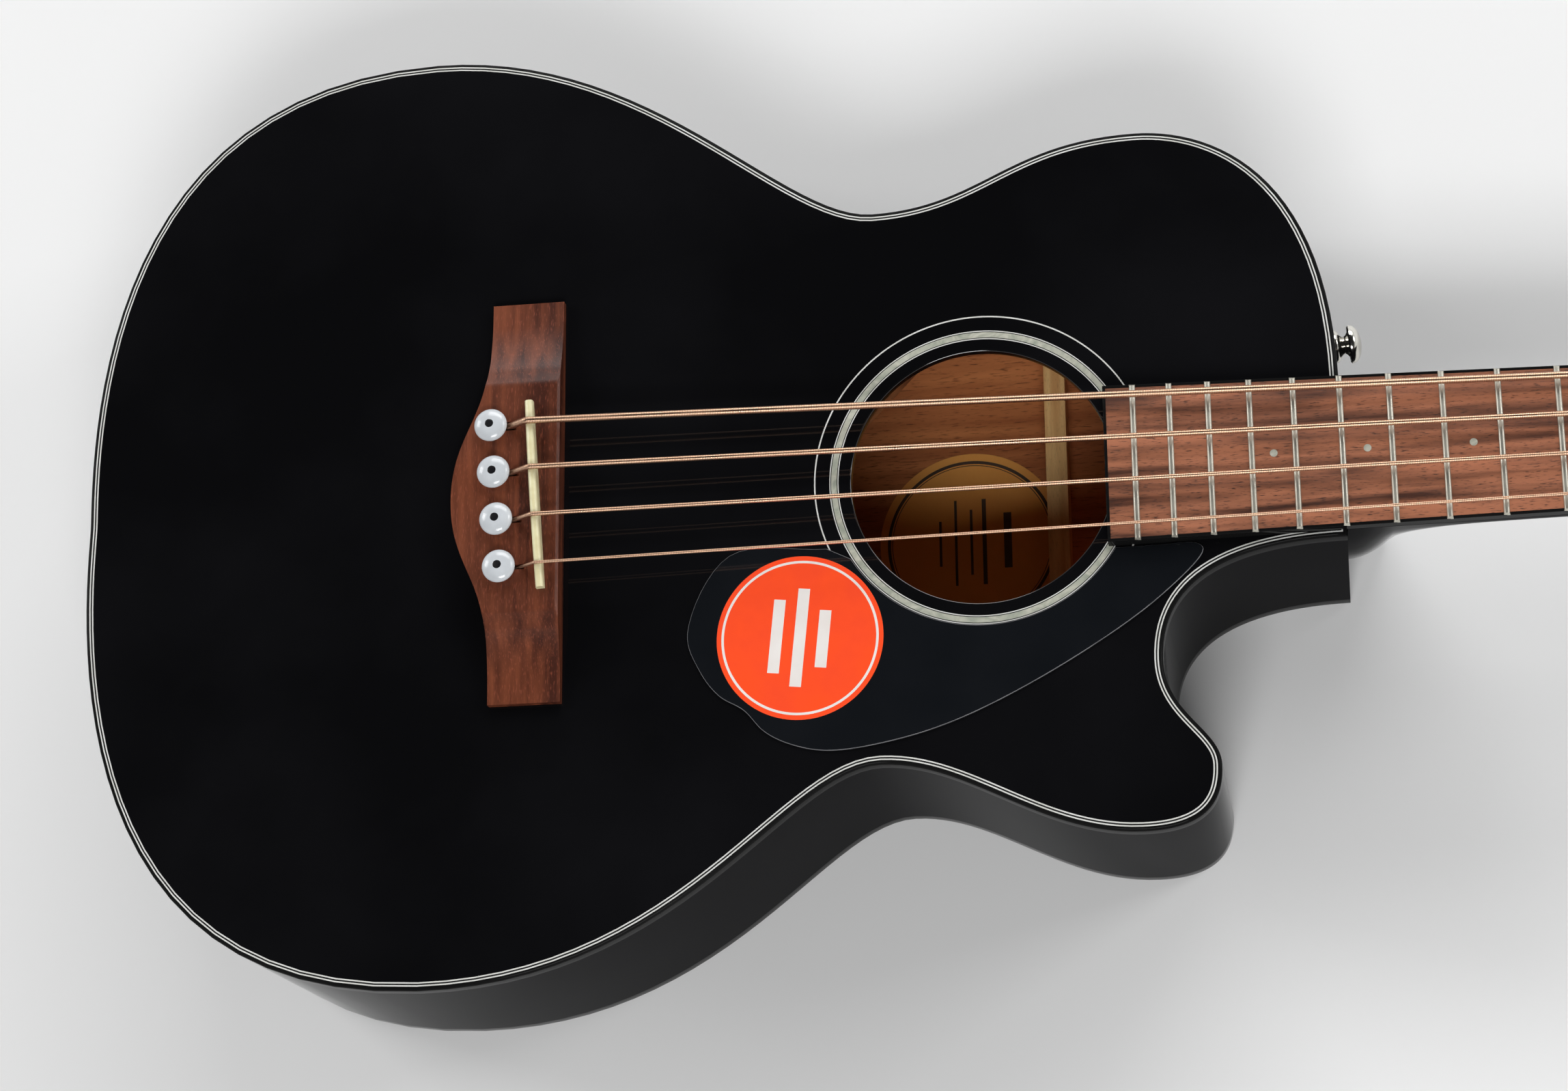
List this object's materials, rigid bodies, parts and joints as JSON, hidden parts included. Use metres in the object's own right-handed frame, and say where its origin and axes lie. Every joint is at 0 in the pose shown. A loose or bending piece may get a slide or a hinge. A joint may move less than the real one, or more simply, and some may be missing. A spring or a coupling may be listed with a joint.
{
  "type": "acoustic bass guitar",
  "caption": "Cutaway acoustic bass guitar with an arched back, pinned bridge, bound edges, rosette, pickguard, truss rod and worm-geared tuners.",
  "frame": {"origin": "on the flat ridge of the back, straight below the saddle line, on the plane that the guitar rests on", "axes": "+X towards the headstock, +Y towards the bass side, +Z out of the soundboard; the guitar lies on its back"},
  "size_m": [1.1474, 0.3544, 0.1157],
  "materials": {
    "body_gloss": "black high-gloss lacquer over wood",
    "neck_gloss": "black satin to gloss lacquer over mahogany",
    "binding": "black bound edge",
    "purfling": "white and black lines",
    "pearl": "mother-of-pearl look, lacquered",
    "mahogany": "bare mahogany",
    "spruce": "bare spruce",
    "maple": "bare maple",
    "rosewood": "oiled dark rosewood with open grain",
    "bone": "aged cream, satin",
    "pickguard": "satin black with a bright cut edge",
    "pin_white": "white, polished",
    "nickel": "nickel plated, light wear",
    "steel": "plain steel",
    "brass": "plain brass",
    "bronze": "phosphor bronze round winding"
  },
  "bodies": {
    "body": {"top": "body_gloss", "back": "body_gloss", "side_bass": "body_gloss", "side_treble": "body_gloss", "binding_top": "binding", "binding_back": "binding", "purfling_top": "purfling", "rosette_thin_ring": "purfling", "rosette_pearl_ring": "pearl", "lining_top": "mahogany", "lining_back": "mahogany", "neck_block": "mahogany", "tail_block": "mahogany", "x_brace_1": "spruce", "x_brace_2": "spruce", "tone_bar_1": "spruce", "tone_bar_2": "spruce", "transverse_brace": "spruce", "bridge_plate": "maple", "bridge": "rosewood", "saddle": "bone", "pickguard": "pickguard", "fretboard": "rosewood", "nut": "bone", "neck": "neck_gloss", "heel_cap": "binding", "truss_rod": "steel", "strap_button": "nickel", "end_button": "nickel", "back_brace_1": "spruce", "back_brace_2": "spruce", "back_brace_3": "spruce", "back_brace_4": "spruce", "string_e": "bronze", "tuner_e_plate": "nickel", "tuner_e_bushing": "nickel", "string_a": "bronze", "tuner_a_plate": "nickel", "tuner_a_bushing": "nickel", "string_d": "bronze", "tuner_d_plate": "nickel", "tuner_d_bushing": "nickel", "string_g": "bronze", "tuner_g_plate": "nickel", "tuner_g_bushing": "nickel"},
    "truss_adjuster": {"truss_rod_nut": "brass"},
    "key_e": {"tuner_e_key": "nickel"},
    "post_e": {"tuner_e_post": "nickel"},
    "pin_e": {"bridge_pin_e": "pin_white"},
    "key_a": {"tuner_a_key": "nickel"},
    "post_a": {"tuner_a_post": "nickel"},
    "pin_a": {"bridge_pin_a": "pin_white"},
    "key_d": {"tuner_d_key": "nickel"},
    "post_d": {"tuner_d_post": "nickel"},
    "pin_d": {"bridge_pin_d": "pin_white"},
    "key_g": {"tuner_g_key": "nickel"},
    "post_g": {"tuner_g_post": "nickel"},
    "pin_g": {"bridge_pin_g": "pin_white"}
  },
  "joints": [
    {"name": "tuner_e_key_turn", "type": "hinge", "parent": "body", "child": "key_e", "pos_m": [0.82144, 0.025, 0.03346], "axis": [0, 1, 0], "continuous": true, "deforming": ["string_e"]},
    {"name": "tuner_e_post_turn", "type": "hinge", "parent": "body", "child": "post_e", "pos_m": [0.83374, 0.025, 0.03065], "axis": [0.2231, 0, 0.9748], "continuous": true, "deforming": ["string_e"]},
    {"name": "bridge_pin_e_pull", "type": "slide", "parent": "body", "child": "pin_e", "axis": [0.036, 0, 0.9994], "range_m": [0, 0.03]},
    {"name": "tuner_a_key_turn", "type": "hinge", "parent": "body", "child": "key_a", "pos_m": [0.88773, 0.025, 0.01829], "axis": [0, 1, 0], "continuous": true, "deforming": ["string_a"]},
    {"name": "tuner_a_post_turn", "type": "hinge", "parent": "body", "child": "post_a", "pos_m": [0.90003, 0.025, 0.01548], "axis": [0.2231, 0, 0.9748], "continuous": true, "deforming": ["string_a"]},
    {"name": "bridge_pin_a_pull", "type": "slide", "parent": "body", "child": "pin_a", "axis": [0.036, 0, 0.9994], "range_m": [0, 0.03]},
    {"name": "tuner_d_key_turn", "type": "hinge", "parent": "body", "child": "key_d", "pos_m": [0.88773, -0.025, 0.01829], "axis": [0, -1, 0], "continuous": true, "deforming": ["string_d"]},
    {"name": "tuner_d_post_turn", "type": "hinge", "parent": "body", "child": "post_d", "pos_m": [0.90003, -0.025, 0.01548], "axis": [0.2231, 0, 0.9748], "continuous": true, "deforming": ["string_d"]},
    {"name": "bridge_pin_d_pull", "type": "slide", "parent": "body", "child": "pin_d", "axis": [0.036, 0, 0.9994], "range_m": [0, 0.03]},
    {"name": "tuner_g_key_turn", "type": "hinge", "parent": "body", "child": "key_g", "pos_m": [0.82144, -0.025, 0.03346], "axis": [0, -1, 0], "continuous": true, "deforming": ["string_g"]},
    {"name": "tuner_g_post_turn", "type": "hinge", "parent": "body", "child": "post_g", "pos_m": [0.83374, -0.025, 0.03065], "axis": [0.2231, 0, 0.9748], "continuous": true, "deforming": ["string_g"]},
    {"name": "bridge_pin_g_pull", "type": "slide", "parent": "body", "child": "pin_g", "axis": [0.036, 0, 0.9994], "range_m": [0, 0.03]},
    {"name": "truss_rod_turn", "type": "hinge", "parent": "body", "child": "truss_adjuster", "pos_m": [0.23103, 0, 0.08014], "axis": [0.9994, 0, -0.036], "range_deg": [-360, 360]}
  ],
  "couplings": [
    {"joint": "tuner_e_post_turn", "follows": "tuner_e_key_turn", "ratio": -0.05},
    {"joint": "tuner_a_post_turn", "follows": "tuner_a_key_turn", "ratio": -0.05},
    {"joint": "tuner_d_post_turn", "follows": "tuner_d_key_turn", "ratio": -0.05},
    {"joint": "tuner_g_post_turn", "follows": "tuner_g_key_turn", "ratio": -0.05}
  ]
}
